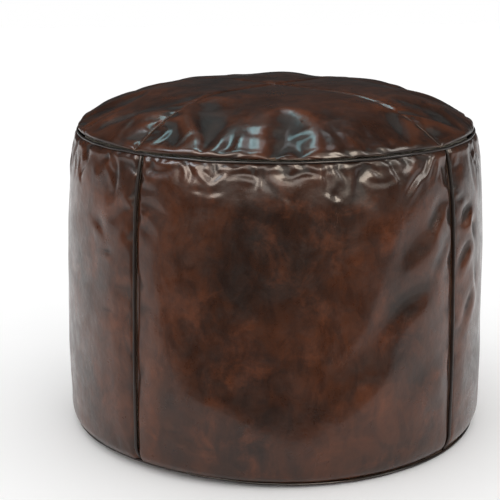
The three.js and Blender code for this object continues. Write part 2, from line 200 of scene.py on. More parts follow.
def put_attribute(obj, name, values):
    """A float for each vertex, which the material reads."""
    attribute = obj.data.attributes.new(name, "FLOAT", "POINT")
    attribute.data.foreach_set("value", np.asarray(values, dtype=np.float32).ravel())


def tube(name, path, radius, sides=12, closed=False, wobble=0.0, seed=0.0, up=(0.0, 0.0, 1.0)):
    """A tube along a path that never runs along up, its radius rippled by a share of itself."""
    count = len(path)
    if closed:
        ahead, behind = np.roll(path, -1, axis=0), np.roll(path, 1, axis=0)
    else:
        ahead = np.vstack([path[1:], path[-1:]])
        behind = np.vstack([path[:1], path[:-1]])
    tangent = ahead - behind
    tangent /= np.linalg.norm(tangent, axis=1, keepdims=True)
    across = np.cross(tangent, up)
    across /= np.linalg.norm(across, axis=1, keepdims=True)
    rise = np.cross(across, tangent)
    turn = np.linspace(0, 2 * math.pi, sides, endpoint=False)
    ripple = 1 + wobble * rough(path, 12 * MM, 2, seed)
    ring = np.cos(turn)[None, :, None] * across[:, None] + np.sin(turn)[None, :, None] * rise[:, None]
    points = path[:, None] + ring * (radius * ripple)[:, None, None]
    faces = []
    for i in range(count if closed else count - 1):
        j = (i + 1) % count
        for k in range(sides):
            n = (k + 1) % sides
            faces.append((i * sides + k, i * sides + n, j * sides + n, j * sides + k))
    if not closed:
        faces.append(tuple(range(sides))[::-1])
        faces.append(tuple((count - 1) * sides + k for k in range(sides)))
    return make_object(name, points.reshape(-1, 3), faces)


# ---------------------------------------------------------------- leather panels

SEAM_GROOVE = 4.2 * MM  # how deep a panel's edge dips beside side piping
SEAM_GROOVE_WIDTH = 3.0 * MM
TOP_GROOVE = 3.2 * MM  # the same along a seam of the top
TOP_GROOVE_WIDTH = 2.6 * MM
SIDE_ARC = math.pi / 2 * (MAX_RADIUS - 6 * MM)  # width of a side panel, seam to seam
EDGE = 0.7 * MM  # from a seam's middle to the edge of a panel
SIM_FRAMES = 32
REACH_OUT = 4.0 * MM  # most that the leather may move out of its smooth shape, and in
REACH_IN = 6.5 * MM


def crease(across, along, centre, angle, length, width, depth, bend=0.0):
    """Height of one crease: a valley with a raised lip, on a curved line. Metres, and degrees."""
    a, b = across - centre[0], along - centre[1]
    cos, sin = math.cos(math.radians(angle)), math.sin(math.radians(angle))
    t, n = a * cos + b * sin, b * cos - a * sin
    n = n - bend * t * t / length
    window = bell(t, length / 2)
    return depth * window * (0.7 * bell(n - 1.6 * width, width) - bell(n, width))


class Panel:
    """A grid of leather with its smooth place, the way out of it, and how loose it is at each point."""

    def __init__(self, name, points, outward, slack, pinned, across, along):
        self.name, self.smooth, self.outward = name, points, outward
        self.slack, self.pinned, self.across, self.along = slack, pinned, across, along
        self.columns, self.rows = points.shape[:2]
        faces = grid_faces(self.columns, self.rows)
        centre = np.array([0, 0, TOP_Z * 0.45])
        first = points.reshape(-1, 3)[list(faces[len(faces) // 2])]
        normal = np.cross(first[1] - first[0], first[2] - first[0])
        if np.dot(normal, first[0] - centre) < 0:
            faces = [face[::-1] for face in faces]
        self.obj = make_object(name, points.reshape(-1, 3), faces)


def side_panel(name, middle, seed, creases=()):
    """One side panel, its middle at an angle from -Y, with shallow creases for its puckers to start from."""
    edge = spread((EDGE, 2.6 * MM, 1.9 * MM), (2.6 * MM, 9 * MM, 3.2 * MM), (9 * MM, SIDE_ARC / 2, 4.2 * MM))
    across = mirrored(edge[:-1], SIDE_ARC)
    across = np.sort(np.append(across, SIDE_ARC / 2))
    height = SIDE_TOP_Z - FOOT_Z
    down = spread(
        (0, 3 * MM, 1.5 * MM),
        (3 * MM, 66 * MM, 3.3 * MM),
        (66 * MM, 120 * MM, 5.2 * MM),
        (120 * MM, height - 24 * MM, 8.2 * MM),
        (height - 24 * MM, height, 4 * MM),
    )
    u, v = np.meshgrid(across, down, indexing="ij")
    degrees = middle + (u / SIDE_ARC - 0.5) * QUARTER
    z = SIDE_TOP_Z - v
    seam_gap = np.minimum(u, SIDE_ARC - u)
    groove = SEAM_GROOVE * bell(seam_gap - EDGE, SEAM_GROOVE_WIDTH)
    roll = 2.6 * MM * bell(v - 5 * MM, 5 * MM) + 1.2 * MM * bell(height - v - 7 * MM, 6 * MM)
    z = z + lift(degrees, z)
    radius = side_radius(z) + roll * (1 - bell(seam_gap, 6 * MM)) - groove
    for line in creases:
        radius = radius + crease(u - SIDE_ARC / 2, v, *line) * np.clip(v / (6 * MM), 0, 1)
    points = polar(radius, degrees, z)
    outward = polar(1.0, degrees, 0 * z)
    near_top = bell(np.maximum(v - 8 * MM, 0), 34 * MM)
    near_seam = 0.35 * bell(seam_gap, 30 * MM) * bell(v - 30 * MM, 60 * MM)
    patchy = 0.75 + 0.45 * rough(points, 60 * MM, 2, seed)
    slack = np.clip(np.maximum(near_top, near_seam) * patchy + 0.03, 0, 1)
    pinned = (seam_gap < 2 * MM) | (v < 1 * MM) | (v > height - 1 * MM)
    return Panel(name, points, outward, slack, pinned, u - SIDE_ARC / 2, v)


def top_panel(name, middle, seed, creases=()):
    """One wedge of the top: a square grid bent to a quarter of a disc, its lines along the seams."""
    edge = spread((EDGE, 2.4 * MM, 1.7 * MM), (2.4 * MM, 7 * MM, 2.3 * MM), (7 * MM, RIM_RADIUS, 5.6 * MM))
    places = edge / RIM_RADIUS
    u, v = np.meshgrid(places, places, indexing="ij")
    x = u * np.sqrt(1 - v**2 / 2)
    y = v * np.sqrt(1 - u**2 / 2)
    seam_gap = np.minimum(x, y) * RIM_RADIUS
    radius = np.minimum(np.hypot(x, y), 1) * RIM_RADIUS
    degrees = middle - QUARTER / 2 + np.degrees(np.arctan2(y, x))
    inward = RIM_RADIUS - radius
    groove = TOP_GROOVE * bell(seam_gap - EDGE, TOP_GROOVE_WIDTH) * np.clip(inward / (8 * MM), 0.25, 1)
    z = top_height(radius) - groove
    sideways = (degrees - middle) / QUARTER * SIDE_ARC
    for line in creases:
        z = z + crease(sideways, inward, *line) * np.clip(inward / (6 * MM), 0, 1)
    points = polar(radius, degrees, z)
    slope = (TOP_Z - RIM_Z) * CROWN_POWER * (radius / RIM_RADIUS) ** (CROWN_POWER - 1) / RIM_RADIUS
    tilt = np.stack([slope, np.ones_like(slope)], axis=-1)
    tilt /= np.linalg.norm(tilt, axis=-1, keepdims=True)
    outward = polar(tilt[..., 0], degrees, tilt[..., 1])
    roll = 2.8 * MM * bell(inward - 5 * MM, 5 * MM) * np.clip(seam_gap / (10 * MM), 0, 1)
    points += roll[..., None] * outward
    near_rim = bell(np.maximum(inward - 35 * MM, 0), 40 * MM)
    patchy = 0.75 + 0.45 * rough(points, 70 * MM, 2, seed)
    slack = np.clip(near_rim * patchy + 0.02, 0, 1)
    pinned = (seam_gap < 2 * MM) | (inward < 1 * MM)
    return Panel(name, points, outward, slack, pinned, sideways, inward)


def half_disc(radius, slot, half_length, closed_edge, end_angle):
    """x, y and the edge's x of a half disc on +X, whose straight edge leaves a slot round the middle."""
    angle = np.radians(spread((-end_angle, end_angle, 2.4)))
    share = spread((0, 0.03, 0.012), (0.03, 0.2, 0.024), (0.2, 0.94, 0.035), (0.94, 1, 0.02))
    a, s = np.meshgrid(angle, share, indexing="ij")
    y = radius * np.sin(a)
    edge = slot + (closed_edge - slot) * ease((np.abs(y) - half_length) / (16 * MM))
    edge = np.minimum(edge, radius * np.cos(a))
    return edge + (radius * np.cos(a) - edge) * s, y, edge


BASE_RADIUS = BOTTOM_RING[0] - BOTTOM_PIPE_RADIUS + 0.2 * MM
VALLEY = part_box("zip_coil_right")[0][2] + 0.2 * MM
SLOT = 6.5 * MM  # half the width of the opening over the zip
STITCH_X = SLOT + 3 * MM


def base_height(x, y):
    """Height of the base's smooth outer face in the valley beside the zip."""
    return VALLEY * (1 - ease((x - SLOT) / (38 * MM))) * (1 - ease((np.abs(y) - 205 * MM) / (45 * MM)))


def base_panel(name, side, seed):
    """One half of the base, with the valley that the zip lies in."""
    half_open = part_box("zip_tape_right")[1][1] - 15 * MM
    x, y, edge = half_disc(BASE_RADIUS, SLOT, half_open, 0.4 * MM, 89.0)
    height = base_height(x, y)
    lip = 1.2 * MM * bell(x - edge, 2.5 * MM)
    rim = np.clip(1 - (BASE_RADIUS - np.hypot(x, y)) / (9 * MM), 0, 1)
    turn = np.degrees(np.arctan2(side * x, -y))
    z = height + lip * (height > 0.2 * MM) + 1.3 * MM * rim**2
    z += lift(turn) * ease(1 - (BASE_RADIUS - np.hypot(x, y)) / (60 * MM))
    points = np.stack([side * x, y, z], axis=-1)
    lumps = 0.9 * MM * np.clip(rough(points, 45 * MM, 3, seed), 0, 1)
    sag = lumps * (1 - rim) * (1 - height / VALLEY) + 0.05 * MM
    points[..., 2] += sag
    outward = np.zeros_like(points)
    outward[..., 2] = -1
    return Panel(name, points, outward, 0 * z, np.full(z.shape, True), x, y)


CLOTH = {
    "quality": 7, "mass": 0.02, "use_pressure": True,
    "tension_stiffness": 30, "compression_stiffness": 30, "shear_stiffness": 15,
    "tension_damping": 5, "compression_damping": 5, "shear_damping": 5,
    "bending_damping": 0.1, "air_damping": 3,
    "vertex_group_mass": "held", "vertex_group_shrink": "taut", "shrink_max": 0.0, "shrink_min": -0.05,
}


def swell(panels, stiffness, pressure):
    """Stuffs the leather: panels held at their seams, a little too large there, are blown up from inside."""
    scene = bpy.context.scene
    for panel in panels:
        obj = panel.obj
        add_group(obj, "held", panel.pinned.astype(float).ravel())
        add_group(obj, "taut", 1 - panel.slack.ravel())
        cloth = obj.modifiers.new("leather", "CLOTH")
        cloth.point_cache.frame_start = 1
        cloth.point_cache.frame_end = SIM_FRAMES
        cloth.collision_settings.use_collision = False
        for key, value in CLOTH.items():
            setattr(cloth.settings, key, value)
        cloth.settings.bending_stiffness = stiffness
        cloth.settings.uniform_pressure_force = pressure
        cloth.settings.effector_weights.gravity = 0
    for step in range(1, SIM_FRAMES + 1):
        scene.frame_set(step)
    depsgraph = bpy.context.evaluated_depsgraph_get()
    for panel in panels:
        moved = panel.obj.evaluated_get(depsgraph).data
        flat = np.empty(len(moved.vertices) * 3, dtype=np.float32)
        moved.vertices.foreach_get("co", flat)
        panel.moved = flat.reshape(panel.smooth.shape).astype(float)
        panel.obj.modifiers.clear()
        panel.obj.vertex_groups.clear()
    scene.frame_set(1)


def capped(panel):
    """The swollen place of each point, kept near the smooth shape."""
    shift = panel.moved - panel.smooth
    out = (shift * panel.outward).sum(axis=-1)
    beside = shift - out[..., None] * panel.outward
    held_out = np.where(out > 0, REACH_OUT * np.tanh(out / REACH_OUT), REACH_IN * np.tanh(out / REACH_IN))
    return panel.smooth + beside + held_out[..., None] * panel.outward


def softened(values, times):
    """A grid of values, each averaged with its neighbours a number of times."""
    for _ in range(times):
        wide = np.pad(values, 1, mode="edge")
        values = (wide[:-2, 1:-1] + wide[2:, 1:-1] + wide[1:-1, :-2] + wide[1:-1, 2:] + 2 * values) / 6
    return values


def finish_panel(panel, relief, material, flesh, body="pouf"):
    """Sets the panel's last shape and gives it its thickness, its relief attribute (read by the material for
    wear on ridges and painted shade in hollows) and its materials.
    """
    points = capped(panel) if hasattr(panel, "moved") else panel.smooth.copy()
    room = np.where(panel.pinned, 0.0, 1.0)
    points += (relief * room)[..., None] * panel.outward
    height = ((points - panel.smooth) * panel.outward).sum(axis=-1)
    # Height above the softened surface, which the material lightens on ridges as wear and darkens in hollows
    # as painted shade.
    rise = height - softened(height, 12)
    mesh = panel.obj.data
    mesh.vertices.foreach_set("co", points.astype(np.float32).ravel())
    mesh.update()
    put_attribute(panel.obj, "rise", rise / MM)
    subdivide = panel.obj.modifiers.new("smooth", "SUBSURF")
    subdivide.levels = subdivide.render_levels = 1
    thick = panel.obj.modifiers.new("thickness", "SOLIDIFY")
    thick.thickness = LEATHER
    thick.offset = -1
    thick.material_offset = 1
    thick.material_offset_rim = 1
    mesh.materials.append(material)
    mesh.materials.append(flesh)
    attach(panel.obj, body)


# ---------------------------------------------------------------- materials


class Nodes:
    """Short words for building a node tree."""

    def __init__(self, name):
        self.material = bpy.data.materials.new(name)
        self.material.use_nodes = True
        self.tree = self.material.node_tree
        self.shader = self.tree.nodes["Principled BSDF"]
        self.place = self.add("ShaderNodeTexCoord").outputs["Object"]

    def add(self, kind, **settings):
        node = self.tree.nodes.new(kind)
        for key, value in settings.items():
            setattr(node, key, value)
        return node

    def link(self, source, target):
        self.tree.links.new(source, target)

    def feed(self, socket, value):
        if isinstance(value, bpy.types.NodeSocket):
            self.link(value, socket)
        else:
            socket.default_value = value

    def noise(self, scale, detail=3.0, roughness=0.55, distortion=0.0, place=None):
        node = self.add("ShaderNodeTexNoise")
        self.link(place or self.place, node.inputs["Vector"])
        values = {"Scale": scale, "Detail": detail, "Roughness": roughness, "Distortion": distortion}
        for key, value in values.items():
            node.inputs[key].default_value = value
        return node.outputs["Fac"]

    def cells(self, scale, feature="F1", randomness=1.0, place=None):
        node = self.add("ShaderNodeTexVoronoi", feature=feature)
        self.link(place or self.place, node.inputs["Vector"])
        node.inputs["Scale"].default_value = scale
        node.inputs["Randomness"].default_value = randomness
        return node.outputs["Distance"]

    def stretched(self, scale, rotation=(0, 0, 0)):
        node = self.add("ShaderNodeMapping")
        self.link(self.place, node.inputs["Vector"])
        node.inputs["Scale"].default_value = scale
        node.inputs["Rotation"].default_value = rotation
        return node.outputs["Vector"]

    def math(self, operation, a, b=0.0, clamp=False):
        node = self.add("ShaderNodeMath", operation=operation, use_clamp=clamp)
        self.feed(node.inputs[0], a)
        self.feed(node.inputs[1], b)
        return node.outputs[0]

    def span(self, value, low, high, to_low=0.0, to_high=1.0):
        """value from low..high to to_low..to_high, held at the ends."""
        node = self.add("ShaderNodeMapRange", interpolation_type="SMOOTHSTEP")
        self.feed(node.inputs["Value"], value)
        for key, number in (("From Min", low), ("From Max", high), ("To Min", to_low), ("To Max", to_high)):
            node.inputs[key].default_value = number
        return node.outputs["Result"]

    def mix(self, share, a, b, blend="MIX"):
        node = self.add("ShaderNodeMix", data_type="RGBA", blend_type=blend)
        self.feed(node.inputs["Factor"], share)
        for socket, colour in ((node.inputs[6], a), (node.inputs[7], b)):
            self.feed(socket, colour if isinstance(colour, bpy.types.NodeSocket) else (*colour, 1.0))
        return node.outputs[2]

    def attribute(self, name):
        return self.add("ShaderNodeAttribute", attribute_name=name).outputs["Fac"]

    def bump(self, height, strength, distance, onto=None):
        node = self.add("ShaderNodeBump")
        self.feed(node.inputs["Height"], height)
        node.inputs["Strength"].default_value = strength
        node.inputs["Distance"].default_value = distance
        if onto is not None:
            self.link(onto, node.inputs["Normal"])
        return node.outputs["Normal"]

    def finish(self, colour, roughness, normal, **uniform):
        self.feed(self.shader.inputs["Base Color"], colour)
        self.feed(self.shader.inputs["Roughness"], roughness)
        if normal is not None:
            self.link(normal, self.shader.inputs["Normal"])
        for key, value in uniform.items():
            self.shader.inputs[key.replace("_", " ")].default_value = value
        return self.material


def leather(name, dark, warm, glow, gloss=0.0, mottle=1.0):
    """Burnished hide: a dark stain rubbed through to warm patches, ridges rubbed lighter, hollows darkened
    with painted shade, fine grain, small scars, a waxed coat.
    """
    n = Nodes(name)
    broad = n.noise(8, 3, 0.6, 0.5)
    patch = n.noise(19, 5, 0.66, 0.5)
    speck = n.noise(210, 3, 0.6)
    streak = n.noise(1.0, 5, 0.65, 1.2, n.stretched((40, 40, 22), (0.1, 0.15, 0)))
    colour = n.mix(n.span(broad, 0.34, 0.66), dark, warm)
    colour = n.mix(n.math("MULTIPLY", n.span(patch, 0.48, 0.72), 0.6 * mottle), colour, glow)
    shade = n.mix(n.span(streak, 0.34, 0.62), (0.6, 0.57, 0.57), (1.1, 1.08, 1.08))
    colour = n.mix(0.75 * mottle, colour, shade, "MULTIPLY")
    colour = n.mix(0.3, colour, n.mix(speck, (0.6, 0.55, 0.55), (1.3, 1.3, 1.3)), "MULTIPLY")
    rise = n.attribute("rise")
    # Raised ridges lighter, as rubbed wear; hollows and seam grooves darker, as painted shade.
    colour = n.mix(n.span(rise, 0.15, 1.6, 0.0, 0.4), colour, glow)
    colour = n.mix(n.span(rise, -0.1, -1.4, 0.0, 0.6), colour, tuple(0.4 * c for c in dark))
    scar_place = n.stretched((260, 260, 34), (0.5, 0.3, 0.7))
    scars = n.span(n.cells(1.0, "DISTANCE_TO_EDGE", 1.0, scar_place), 0.012, 0.0)
    scars = n.math("MULTIPLY", scars, n.span(n.noise(9, 2), 0.62, 0.7))
    colour = n.mix(n.math("MULTIPLY", scars, 0.4), colour, tuple(min(1, 1.8 * c) for c in glow))
    smooth = n.span(n.noise(30, 4, 0.65, 0.4), 0.3, 0.7, 0.26 - gloss, 0.42 - gloss)
    roughness = n.math("ADD", smooth, n.math("MULTIPLY", scars, 0.25))
    roughness = n.math("ADD", roughness, n.span(rise, -0.3, -1.6, 0.0, 0.35))
    grain = n.cells(620, "SMOOTH_F1")
    normal = n.bump(n.noise(26, 3, 0.5), 0.35, 4 * MM)
    normal = n.bump(n.noise(85, 3, 0.55), 0.35, 1.2 * MM, normal)
    normal = n.bump(grain, 0.12, 0.35 * MM, normal)
    normal = n.bump(scars, 0.25, -0.3 * MM, normal)
    return n.finish(
        colour, roughness, normal,
        Coat_Weight=0.3, Coat_Roughness=0.14, Specular_IOR_Level=0.3,
    )


def suede(name):
    """The flesh side of the hide, seen inside the cover and along cut edges."""
    n = Nodes(name)
    nap = n.noise(900, 4, 0.7)
    colour = n.mix(n.noise(40, 3), (0.13, 0.07, 0.04), (0.24, 0.15, 0.09))
    colour = n.mix(0.5, colour, n.mix(nap, (0.5, 0.5, 0.5), (1.4, 1.4, 1.4)), "MULTIPLY")
    return n.finish(colour, 0.92, n.bump(nap, 0.5, 0.4 * MM))


def woven(name, light, dark, threads=900.0):
    """Plain-woven cotton: crossing threads with a soft, uneven colour."""
    n = Nodes(name)
    height = None
    for turn in ((0, 0, 0), (0, math.pi / 2, 0), (math.pi / 2, 0, 0)):
        wave = n.add("ShaderNodeTexWave", wave_type="BANDS", bands_direction="X")
        mapping = n.add("ShaderNodeMapping")
        n.link(n.place, mapping.inputs["Vector"])
        mapping.inputs["Rotation"].default_value = turn
        n.link(mapping.outputs["Vector"], wave.inputs["Vector"])
        wave.inputs["Scale"].default_value = threads
        wave.inputs["Distortion"].default_value = 1.2
        height = wave.outputs["Fac"] if height is None else n.math("MAXIMUM", height, wave.outputs["Fac"])
    colour = n.mix(height, dark, light)
    colour = n.mix(0.3, colour, n.mix(n.noise(60, 3), (0.75, 0.72, 0.68), (1.1, 1.1, 1.1)), "MULTIPLY")
    return n.finish(colour, 0.9, n.bump(height, 0.5, 0.25 * MM))


def stuffing(name):
    """Matted cotton and polyester flock."""
    n = Nodes(name)
    tufts = n.noise(120, 6, 0.7, 1.5)
    colour = n.mix(tufts, (0.55, 0.52, 0.46), (0.86, 0.84, 0.8))
    return n.finish(colour, 0.97, n.bump(tufts, 0.8, 3 * MM))


def antique_brass(name):
    """Worn brass with darker tarnish and fine scratches."""
    n = Nodes(name)
    tarnish = n.span(n.noise(500, 4, 0.6, 0.4), 0.4, 0.7)
    colour = n.mix(tarnish, (0.62, 0.45, 0.22), (0.2, 0.13, 0.06))
    scratch = n.noise(1.0, 2, 0.5, 0.0, n.stretched((5000, 300, 5000)))
    roughness = n.math("ADD", n.span(scratch, 0.3, 0.7, 0.22, 0.42), n.math("MULTIPLY", tarnish, 0.2))
    return n.finish(colour, roughness, n.bump(scratch, 0.15, 0.05 * MM), Metallic=1.0)


def nylon(name):
    """Dyed nylon monofilament."""
    n = Nodes(name)
    streak = n.noise(700, 3)
    colour = n.mix(streak, (0.02, 0.012, 0.008), (0.06, 0.036, 0.024))
    return n.finish(colour, n.span(streak, 0.3, 0.7, 0.3, 0.5), n.bump(streak, 0.15, 0.05 * MM))


DARK = (0.027, 0.009, 0.0036)
WARM = (0.066, 0.0182, 0.0052)
GLOW = (0.12, 0.0325, 0.0095)
# The piping's colours are much darker than the panels': painted shade of the narrow recess that the piping
# sits in.
PIPE_DARK = (0.010, 0.0055, 0.004)
PIPE_WARM = (0.02, 0.0095, 0.006)
PIPE_GLOW = (0.05, 0.024, 0.014)
HIDE = leather("burnished_leather", DARK, WARM, GLOW)
PIPE_HIDE = leather("piping_leather", PIPE_DARK, PIPE_WARM, PIPE_GLOW, -0.05, 0.5)
FLESH = suede("leather_flesh_side")
COTTON = woven("undyed_cotton", (0.72, 0.66, 0.55), (0.45, 0.4, 0.32))
TAPE = woven("zip_tape_weave", (0.05, 0.03, 0.02), (0.015, 0.01, 0.008), 2200.0)
FLOCK = stuffing("flock")
BRASS = antique_brass("antique_brass")
NYLON = nylon("coil_nylon")
THREAD = woven("waxed_thread", (0.06, 0.032, 0.02), (0.02, 0.011, 0.008), 3000.0)


# ---------------------------------------------------------------- the cover

SIDES = ("front", "right", "back", "left")
SEAMS = ("front_left", "front_right", "back_right", "back_left")

# Where the front panel's puckers start, in millimetres and degrees: across from its middle, down from
# its top, the way the fold runs, its length, width and depth, and how much it bends
FRONT_PUCKERS = (
    (-139, 14, 80, 26, 3.5, 1.6, 0.9), (-118, 15, 35, 22, 3, 1.4, 0), (-106, 16, -35, 22, 3, 1.4, 0),
    (-128, 33, 10, 16, 3, 1.2, 0), (-108, 34, -10, 16, 3, 1.2, 0), (-70, 12, 8, 34, 3.5, 1.8, 0.4),
    (-50, 18, 85, 20, 3, 1.6, 0.3), (24, 16, 88, 30, 3.5, 2, 0.2), (31, 36, 30, 16, 3, 1.6, 0),
    (34, 34, 110, 16, 3, 1.4, 0), (43, 14, 60, 20, 3, 1.6, 0.5), (86, 12, 40, 20, 3, 1.6, 0.3),
    (92, 27, 3, 36, 3, 1.6, -0.4), (-17, 44, 70, 20, 3, 1.5, 0.9), (140, 30, -40, 40, 4, 2, 0.2),
    (165, 14, -50, 24, 3, 1.6, 0.1), (176, 22, -60, 24, 3, 1.4, 0.1), (115, 18, 60, 24, 3, 1.5, 0.1),
    (2, 10, 5, 22, 3, 1.2, 0.2), (62, 20, 100, 24, 3, 1.3, 0.1),
)

# The same for the front wedge of the top: across from its middle, inwards from its rim
FRONT_FOLDS = (
    (-183, 18, 70, 34, 5, 2.4, 0.2), (-149, 16, 60, 30, 5, 2, 0.2), (-117, 20, 100, 45, 6, 2.4, 0.2),
    (-86, 18, 80, 40, 6, 2.6, 0.2), (-59, 22, 95, 40, 6, 2.2, -0.2), (-14, 25, 60, 50, 6, 2.2, 0.3),
    (4, 12, 100, 30, 5, 2, 0), (41, 20, 80, 34, 5, 2.2, 0.2), (59, 30, 110, 40, 5, 2, 0.2),
    (98, 22, 70, 40, 6, 2.2, 0.2), (125, 18, 100, 34, 5, 2, 0), (160, 20, 80, 30, 5, 2, 0.1),
    (-40, 36, 5, 50, 7, 2, 0.3), (80, 42, -5, 60, 7, 2, -0.3),
)


def in_metres(rows):
    """crease() arguments from rows in millimetres and degrees."""
    return [
        ((across * MM, along * MM), turn, length * MM, width * MM, depth * MM, bend)
        for across, along, turn, length, width, depth, bend in rows
    ]


def scattered(seed, count, band, size=1.0):
    """Puckers at random places in a band beside a seam."""
    draw = np.random.default_rng(seed)
    return [
        (
            draw.uniform(-185, 185), draw.uniform(8, band), draw.uniform(30, 150),
            size * draw.uniform(16, 34), size * draw.uniform(2.8, 3.8), size * draw.uniform(1.2, 1.9),
            draw.uniform(-0.4, 0.8),
        )
        for _ in range(count)
    ]


side_panels = [
    side_panel(
        f"leather_side_{name}", QUARTER * k, 3.1 * k,
        in_metres(FRONT_PUCKERS if k == 0 else scattered(k, 20, 38)),
    )
    for k, name in enumerate(SIDES)
]
top_panels = [
    top_panel(
        f"leather_top_{name}", QUARTER * k + TOP_TWIST, 7.7 * k,
        in_metres(FRONT_FOLDS if k == 0 else scattered(20 + k, 15, 60, 1.5)),
    )
    for k, name in enumerate(SIDES)
]
swell(side_panels, 2.5, 1.2)
swell(top_panels, 9.0, 0.6)

# Dents and broad hollows of the side panels, in the same terms as the puckers
SEAM_DENTS = {
    "right": (
        (-184, 84, -35, 34, 8, 5.0, 0.2), (-188, 132, -40, 40, 7, 4.2, 0.2),
        (-178, 200, -50, 46, 8, 2.6, 0.1), (-160, 106, 60, 34, 7, 2.2, 0.3),
        (-150, 168, 75, 40, 8, 1.8, 0.2),
    ),
    "left": (
        (172, 122, 14, 34, 3.4, 2.0, 0.5), (150, 90, 30, 40, 8, 1.4, 0.3), (165, 196, -12, 40, 6, 1.2, 0.2),
    ),
    "front": (
        (176, 74, -48, 44, 8, 1.8, 0.2), (184, 124, -55, 40, 7, 1.4, 0.2), (60, 168, -6, 60, 3.2, 0.7, 0.2),
        (-150, 330, 20, 50, 6, 1.3, 0.3), (-110, 344, 8, 40, 5, 1.1, 0.3), (20, 190, 10, 70, 3.5, 0.7, 0.3),
        (128, 166, -32, 95, 20, 3.4, 0.2), (140, 100, -42, 90, 20, 2.8, 0.2),
        (70, 236, -35, 120, 26, 2.8, 0.1), (-70, 250, 30, 120, 26, 2.0, 0.1),
        (150, 262, -25, 80, 22, 2.2, 0.2),
    ),
    "back": ((-178, 96, -35, 36, 8, 2.4, 0.2), (182, 120, 40, 36, 8, 2.2, 0.2)),
}

for k, panel in enumerate(side_panels):
    away = np.minimum(np.minimum(panel.along, SIDE_TOP_Z - FOOT_Z - panel.along) / (25 * MM), 1)
    relief = 1.3 * MM * rough(panel.smooth, 75 * MM, 2, 1.7) * away
    for line in in_metres(SEAM_DENTS[SIDES[k]]):
        relief = relief + crease(panel.across, panel.along, *line)
    finish_panel(panel, relief, HIDE, FLESH)
    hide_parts(f"side_panel_{SIDES[k]}")

for k, panel in enumerate(top_panels):
    relief = 1.5 * MM * rough(panel.smooth, 70 * MM, 2, 5.2) * np.clip(panel.along / (25 * MM), 0, 1)
    finish_panel(panel, relief, HIDE, FLESH)
    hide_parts(f"top_panel_{SIDES[k]}")

for name, side in (("left", -1), ("right", 1)):
    panel = base_panel(f"leather_base_{name}", side, 2.0 + side)
    finish_panel(panel, 0 * panel.across, HIDE, FLESH)
    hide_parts(f"bottom_panel_{name}")


def add_piping(name, node, path, radius, closed, up=(0, 0, 1)):
    """Leather piping along a path and the cord inside it, in place of their CAD nodes."""
    piping = tube(name, path, radius, 14, closed, 0.07, 4.0, up)
    piping.data.materials.append(PIPE_HIDE)
    put_attribute(piping, "rise", np.zeros(len(piping.data.vertices)))
    cord = tube(f"{name}_cord", path[::2], radius - 1.0 * MM, 8, closed, 0.05, 6.0, up)
    cord.data.materials.append(COTTON)
    for piece, cad_node, slot in ((piping, node, "leather_piping"), (cord, f"{node}_cord", "cotton")):
        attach(piece, "pouf")
        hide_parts(cad_node)


def ring_path(ring, count, wave, seed):
    """A ring with the small wander of a hand-sewn seam."""
    radius, z = ring
    turn = np.linspace(0, 360, count, endpoint=False)
    path = polar(radius, turn, z)
    path[:, 2] += wave * rough(path, 45 * MM, 2, seed) + (lift(turn) if z < RIM_Z / 2 else 0)
    return path


add_piping("piping_top", "top_piping", ring_path(TOP_RING, 480, 1.1 * MM, 2.0), TOP_PIPE_RADIUS, True)
add_piping(
    "piping_bottom", "bottom_piping", ring_path(BOTTOM_RING, 480, 0.5 * MM, 5.0), BOTTOM_PIPE_RADIUS, True,
)
for k, name in enumerate(SEAMS):
    z = np.linspace(FOOT_Z, SIDE_TOP_Z, 130)
    path = polar(side_radius(z) - 0.4 * MM, -45 + QUARTER * k, z + lift(-45 + QUARTER * k, z))
    wander = 0.5 * MM * rough(path, 60 * MM, 2, 9.0 + k)
    path += polar(1.0, 45 + QUARTER * k, 0) * wander[:, None]
    outward = polar(1.0, -45 + QUARTER * k, 0.0)
    add_piping(f"piping_{name}", f"side_piping_{name}", path, SIDE_PIPE_RADIUS, False, outward)

# ---------------------------------------------------------------- stuffed bag

BAG_FLOOR_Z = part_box("inner_liner")[0][2]
BAG_SLIT = (15 * MM, 165 * MM)  # half its width and half its length
BAG_INSET = 9.5 * MM  # from the leather's outer face to the bag
BAG_THICKNESS = 0.8 * MM


